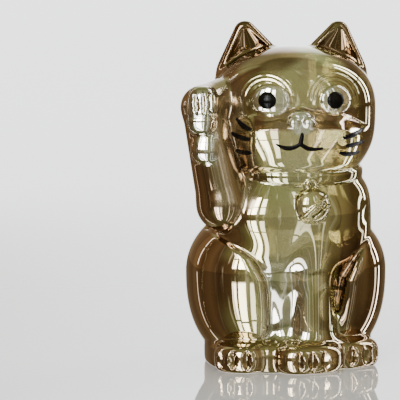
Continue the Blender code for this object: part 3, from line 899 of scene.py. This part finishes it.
# azimuth from behind the camera, elevation, half width, half height (degrees), strength
WINDOWS = (
    (-34, 25, 3.0, 16, 22),
    (-23, 27, 5.0, 18, 28),
    (-9, 25, 3.5, 16, 12),
    (28, 26, 1.6, 22, 6),
    (47, 30, 1.3, 22, 6),
    (112, 30, 2.0, 28, 28),
    (124, 30, 1.5, 28, 28),
    (-112, 24, 0.8, 20, 12),
)
TABLE_SHARE = 0.55              # how much of the room the table top gives back from below
TABLE_GLOOM = (0.06, 0.045, 0.025)
TABLE_STRETCH = 10              # degrees that windows in the table top are further down and longer
STRIP_GLOOM = (0.03, 0.018, 0.008)
GLINT = (2.2, 2.25, 2.1)
BACKDROP = ((2.3, 2.3, 2.27), (3.0, 3.1, 3.25))          # below and above


def room_walls(nodes, turned, elevation, hung, strips):
    """The room without windows: colours round it, other ones high up, dark strips and glints."""
    share = nodes.math("ADD", nodes.math("DIVIDE", turned, 2 * math.pi), 0.5)
    around = nodes.add("ShaderNodeValToRGB", {0: share})
    ramp = around.color_ramp
    while len(ramp.elements) < len(ROOM):
        ramp.elements.new(0.5)
    for element, (position, colour) in zip(ramp.elements, ROOM):
        element.position = position
        element.color = (*colour, 1)
    facing = nodes.math("COSINE", turned)
    ahead = nodes.fit(facing, 0.3, 0.8)
    above = nodes.math("MULTIPLY", nodes.fit(elevation, math.radians(14), math.radians(34)), ahead)
    room = nodes.mix(above, around.outputs[0], UPPER_WALL)
    back = nodes.zone((elevation, math.radians(34), math.radians(55)), (facing, 0.0, -0.4))
    room = nodes.mix(back, room, UPPER_BACK)
    dark = nodes.mix(0.75, room, STRIP_GLOOM)
    room = nodes.mix(nodes.fit(strips, 0.44, 0.30), room, dark)
    glow = nodes.fit(nodes.noise(hung, 8, 2.0, 0.6, 0.4), 0.54, 0.68)
    glow = nodes.math("MULTIPLY", nodes.math("MULTIPLY", glow, 0.5), ahead)
    room = nodes.mix(glow, room, GLINT)
    # The ceiling is a disc, its middle tipped a little to the back from straight up
    level = nodes.math("MULTIPLY", facing, nodes.math("COSINE", elevation))
    lean = nodes.math("MULTIPLY", level, 0.05)
    over = nodes.math("SUBTRACT", nodes.math("SINE", elevation), lean)
    ceiling = nodes.fit(over, math.cos(math.radians(24)), math.cos(math.radians(16)))
    return nodes.mix(ceiling, room, CEILING)


def with_windows(nodes, room, turned, elevation, below, strips):
    """The room with its windows, each with a bar across its middle, behind the strips."""
    stretch = nodes.math("MULTIPLY", below, math.radians(TABLE_STRETCH))
    clear = nodes.fit(strips, 0.40, 0.52, 0.25, 1.0)
    for azimuth, height, half_width, half_height, strength in WINDOWS:
        across = nodes.math("ABSOLUTE", nodes.math("SUBTRACT", turned, math.radians(azimuth)))
        centre = nodes.math("ADD", stretch, math.radians(height))
        up = nodes.math("ABSOLUTE", nodes.math("SUBTRACT", elevation, centre))
        reach = nodes.math("SUBTRACT", up, stretch)
        pane = nodes.zone(
            (across, math.radians(half_width + 0.6), math.radians(half_width - 0.6)),
            (reach, math.radians(half_height + 0.8), math.radians(half_height - 0.8)),
            (up, math.radians(0.7), math.radians(1.3)),
        )
        light = tuple(strength * c for c in WINDOW_COLOUR)
        room = nodes.mix(nodes.math("MULTIPLY", pane, clear), room, light)
    return room


def surroundings():
    """A pale backdrop to look at; the crystal mirrors and bends a brown room with windows."""
    world = bpy.data.worlds.new("studio")
    bpy.context.scene.world = world
    world.use_nodes = True
    tree = world.node_tree
    tree.nodes.clear()
    nodes = Nodes(tree)
    towards = nodes.add("ShaderNodeTexCoord").outputs["Generated"]
    x, y, z = nodes.parts(towards)
    azimuth = nodes.math("ARCTAN2", x, nodes.math("MULTIPLY", y, -1.0))
    turned = nodes.math("ADD", azimuth, math.radians(-CAMERA_AZIMUTH))
    turned = nodes.math("WRAP", turned, math.pi, -math.pi)
    elevation = nodes.math("ABSOLUTE", nodes.math("ARCSINE", z))
    below = nodes.math("LESS_THAN", z, 0.0)
    drawn_out = nodes.math("MULTIPLY", elevation, 0.12)
    hung = nodes.add("ShaderNodeCombineXYZ", {0: turned, 1: drawn_out}).outputs[0]
    strips = nodes.noise(hung, 5.5, 4.0, 0.62)
    room = room_walls(nodes, turned, elevation, hung, strips)
    room = with_windows(nodes, room, turned, elevation, below, strips)
    room = nodes.mix(below, room, nodes.mix(1 - TABLE_SHARE, room, TABLE_GLOOM))
    seen = nodes.add("ShaderNodeLightPath").outputs["Is Camera Ray"]
    backdrop = nodes.mix(nodes.fit(z, -0.3, 0.4), *BACKDROP)
    colour = nodes.mix(seen, room, backdrop)
    background = nodes.add("ShaderNodeBackground", {"Color": colour, "Strength": 1.0})
    out = nodes.add("ShaderNodeOutputWorld")
    tree.links.new(background.outputs[0], out.inputs["Surface"])


def add_softbox(name, azimuth, elevation, distance, size, power):
    """A large soft light above the figurine, which is not mirrored or bent in the crystal."""
    light = bpy.data.lights.new(name, "AREA")
    light.shape = "RECTANGLE"
    light.size, light.size_y = size
    light.energy = power
    lamp = bpy.data.objects.new(name, light)
    bpy.context.scene.collection.objects.link(lamp)
    out = direction(azimuth, elevation)
    lamp.location = Vector((0, 0, 0.05)) + out * distance
    lamp.rotation_euler = out.to_track_quat("Z", "Y").to_euler()
    lamp.visible_glossy = lamp.visible_transmission = False


add_floor()
surroundings()
add_softbox("top_softbox", -40, 80, 1.6, (1.6, 1.6), 32)
